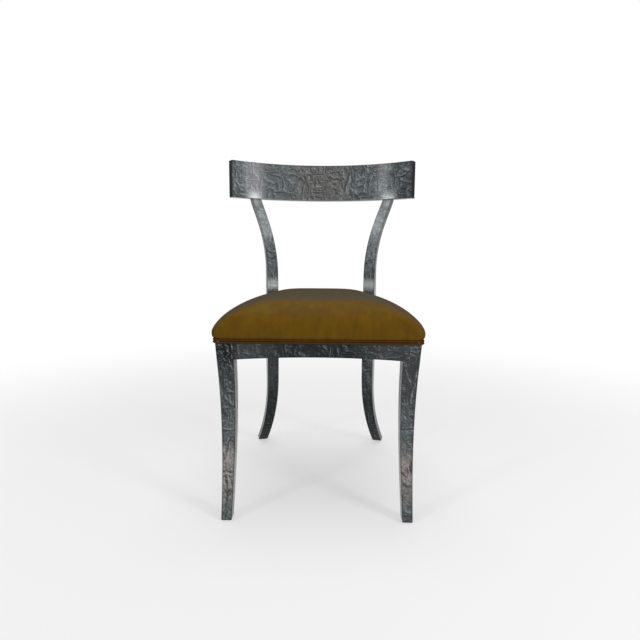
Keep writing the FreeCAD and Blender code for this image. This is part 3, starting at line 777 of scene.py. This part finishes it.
def cambric_material():
    """Black non-woven cambric: a matt cloth of pressed fibres with small embossed dots."""
    material, tree, shader, place = new_material("black_cambric")
    # such cloth has embossed dots about 1 mm apart, and they are drawn 3 mm apart so that they show
    dots = add_node(tree, "ShaderNodeTexVoronoi", {
        "Vector": place, "Scale": 1 / (3 * MM), "Randomness": 0.15}, output="Distance", feature="F1")
    # its fibres are finer than a hair and are drawn as 2 mm clumps so that they show
    fibres = add_node(tree, "ShaderNodeTexNoise", {
        "Vector": place, "Scale": 1 / (2 * MM), "Detail": 6.0})
    body = coated(tree, linear("1A1A1B"), (fibres, linear("2C2C2E")))
    bump = add_node(tree, "ShaderNodeBump", {
        "Strength": 0.6, "Distance": 0.2 * MM, "Height": mask(tree, (dots, 0.2, 0.45))})
    feed(tree, shader, Base_Color=body, Roughness=0.9, Normal=bump)
    return material


class KLISMOS_OT_underside(bpy.types.Operator):
    """Finishes the blocks, screws, seat board, dust cover and glides"""
    bl_idname = "klismos.underside"
    bl_label = "Finish the underside"

    def execute(self, context):
        blocks = [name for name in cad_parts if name.endswith(("block_left", "block_right"))]
        set_material(blocks, beech_material())
        set_material(["seat_board"], plywood_material())
        set_material(["block_screws", "seat_screws"], zinc_material())
        set_material(["glides"], nylon_material())
        set_material(["dust_cover"], cambric_material())
        return {"FINISHED"}


# Stage

# Each light's name, place, the point that it faces, its width and height in metres, and its watts
SOFTBOXES = (
    ("softbox_left", (-1.77, -1.75, 1.25), (0, 0.1, 0.75), 0.30, 1.5, 12),
    ("softbox_right", (1.90, -1.62, 1.25), (0, 0.1, 0.75), 0.60, 1.5, 26),
    ("overhead", (0.0, 0.2, 3.0), (0, 0.1, 0.4), 2.0, 2.0, 36),
)
FLOOR_RADIUS = 40.0


def look_matrix(stage):
    """Camera's place and axes from its pitch, yaw and roll."""
    ahead = Vector((-math.sin(stage.yaw), math.cos(stage.yaw), 0))
    right = Vector((ahead.y, -ahead.x, 0))
    up = Vector((0, 0, 1))
    forward = ahead * math.cos(stage.pitch) - up * math.sin(stage.pitch)
    crown = ahead * math.sin(stage.pitch) + up * math.cos(stage.pitch)
    lean_right = right * math.cos(stage.roll) + crown * math.sin(stage.roll)
    lean_up = crown * math.cos(stage.roll) - right * math.sin(stage.roll)
    matrix = Matrix((lean_right, lean_up, -forward)).transposed().to_4x4()
    matrix.translation = stage.eye
    return matrix


def softbox(name, place, target, width, height, power):
    """Soft rectangular studio light turned to its target."""
    light = bpy.data.lights.new(name, "AREA")
    light.shape = "RECTANGLE"
    light.size, light.size_y = width, height
    light.energy = power
    lamp = bpy.data.objects.new(name, light)
    bpy.context.scene.collection.objects.link(lamp)
    lamp.location = place
    lamp.rotation_euler = (Vector(target) - Vector(place)).to_track_quat("-Z", "Y").to_euler()


def seen_directly(tree):
    """1 for what the camera sees, also in a reflection or through glass, and 0 for plain light."""
    paths = add_node(tree, "ShaderNodeLightPath", output=None)
    seen = 0.0
    for ray in ("Is Camera Ray", "Is Glossy Ray", "Is Transmission Ray"):
        seen = add_node(tree, "ShaderNodeMath", {0: seen, 1: paths.outputs[ray]}, operation="MAXIMUM")
    return seen


def floor_material(look):
    """Matt white studio vinyl that fades into the backdrop away from the chair."""
    material, tree, shader, place = new_material("matt_studio_vinyl")
    far = add_node(tree, "ShaderNodeVectorMath", {0: place}, output="Value", operation="LENGTH")
    fade = add_node(tree, "ShaderNodeMath", {
        0: seen_directly(tree), 1: between(tree, far, 0.5, 2.2, 0.5, 1.0)}, operation="MULTIPLY")
    glow = add_node(tree, "ShaderNodeEmission", {"Color": (1, 1, 1, 1), "Strength": 1.0})
    feed(tree, shader, Base_Color=look.floor, Roughness=0.9, Specular_IOR_Level=0.2)
    mixed = add_node(tree, "ShaderNodeMixShader", {0: fade, 1: shader.outputs[0], 2: glow})
    tree.links.new(mixed, tree.nodes["Material Output"].inputs["Surface"])
    return material


class KLISMOS_OT_stage(bpy.types.Operator):
    """Sets the floor, the studio lights and the camera"""
    bl_idname = "klismos.stage"
    bl_label = "Set the stage"

    def execute(self, context):
        scene = context.scene
        look = scene.klismos_stage
        mesh = bmesh.new()
        bmesh.ops.create_circle(mesh, cap_ends=True, radius=FLOOR_RADIUS, segments=96)
        data = bpy.data.meshes.new("studio_floor")
        mesh.to_mesh(data)
        mesh.free()
        new_object("studio_floor", data, floor_material(look))

        for light in SOFTBOXES:
            softbox(*light)

        world = bpy.data.worlds.new("studio_air")
        scene.world = world
        world.use_nodes = True
        tree = world.node_tree
        strength = add_node(tree, "ShaderNodeMapRange", {
            "Value": seen_directly(tree), "To Min": 0.35, "To Max": 1.0})
        air = tree.nodes["Background"]
        air.inputs["Color"].default_value = (1, 1, 1, 1)
        tree.links.new(strength, air.inputs["Strength"])

        lens = bpy.data.cameras.new("photo_camera")
        lens.lens = look.focal
        lens.sensor_width = 36.0
        camera = bpy.data.objects.new("photo_camera", lens)
        scene.collection.objects.link(camera)
        camera.matrix_world = look_matrix(look)
        scene.camera = camera
        scene.view_settings.view_transform = "Standard"
        return {"FINISHED"}


class KLISMOS_PT_panel(bpy.types.Panel):
    """Steps of the chair, in order"""
    bl_label = "Klismos"
    bl_idname = "KLISMOS_PT_panel"
    bl_space_type = "VIEW_3D"
    bl_region_type = "UI"
    bl_category = "Klismos"

    def draw(self, context):
        for group in GROUPS:
            box = self.layout.box()
            settings = getattr(context.scene, group)
            for name in settings.bl_rna.properties.keys():
                if name not in ("rna_type", "name"):
                    box.prop(settings, name)
        for operator in OPERATORS:
            self.layout.operator(operator.bl_idname)


GROUPS = {
    "klismos_leaf": KLISMOS_PG_leaf,
    "klismos_cushion": KLISMOS_PG_cushion,
    "klismos_welt": KLISMOS_PG_welt,
    "klismos_stage": KLISMOS_PG_stage,
}
OPERATORS = (
    KLISMOS_OT_stage, KLISMOS_OT_frame, KLISMOS_OT_cushion, KLISMOS_OT_welts, KLISMOS_OT_underside)
CLASSES = tuple(GROUPS.values()) + OPERATORS + (KLISMOS_PT_panel,)


def register():
    for cls in CLASSES:
        bpy.utils.register_class(cls)
    for name, group in GROUPS.items():
        setattr(bpy.types.Scene, name, PointerProperty(type=group))


def unregister():
    for name in GROUPS:
        delattr(bpy.types.Scene, name)
    for cls in reversed(CLASSES):
        bpy.utils.unregister_class(cls)


def main():
    register()
    for operator in OPERATORS:
        group, name = operator.bl_idname.split(".")
        getattr(getattr(bpy.ops, group), name)()


if __name__ == "__main__":
    main()
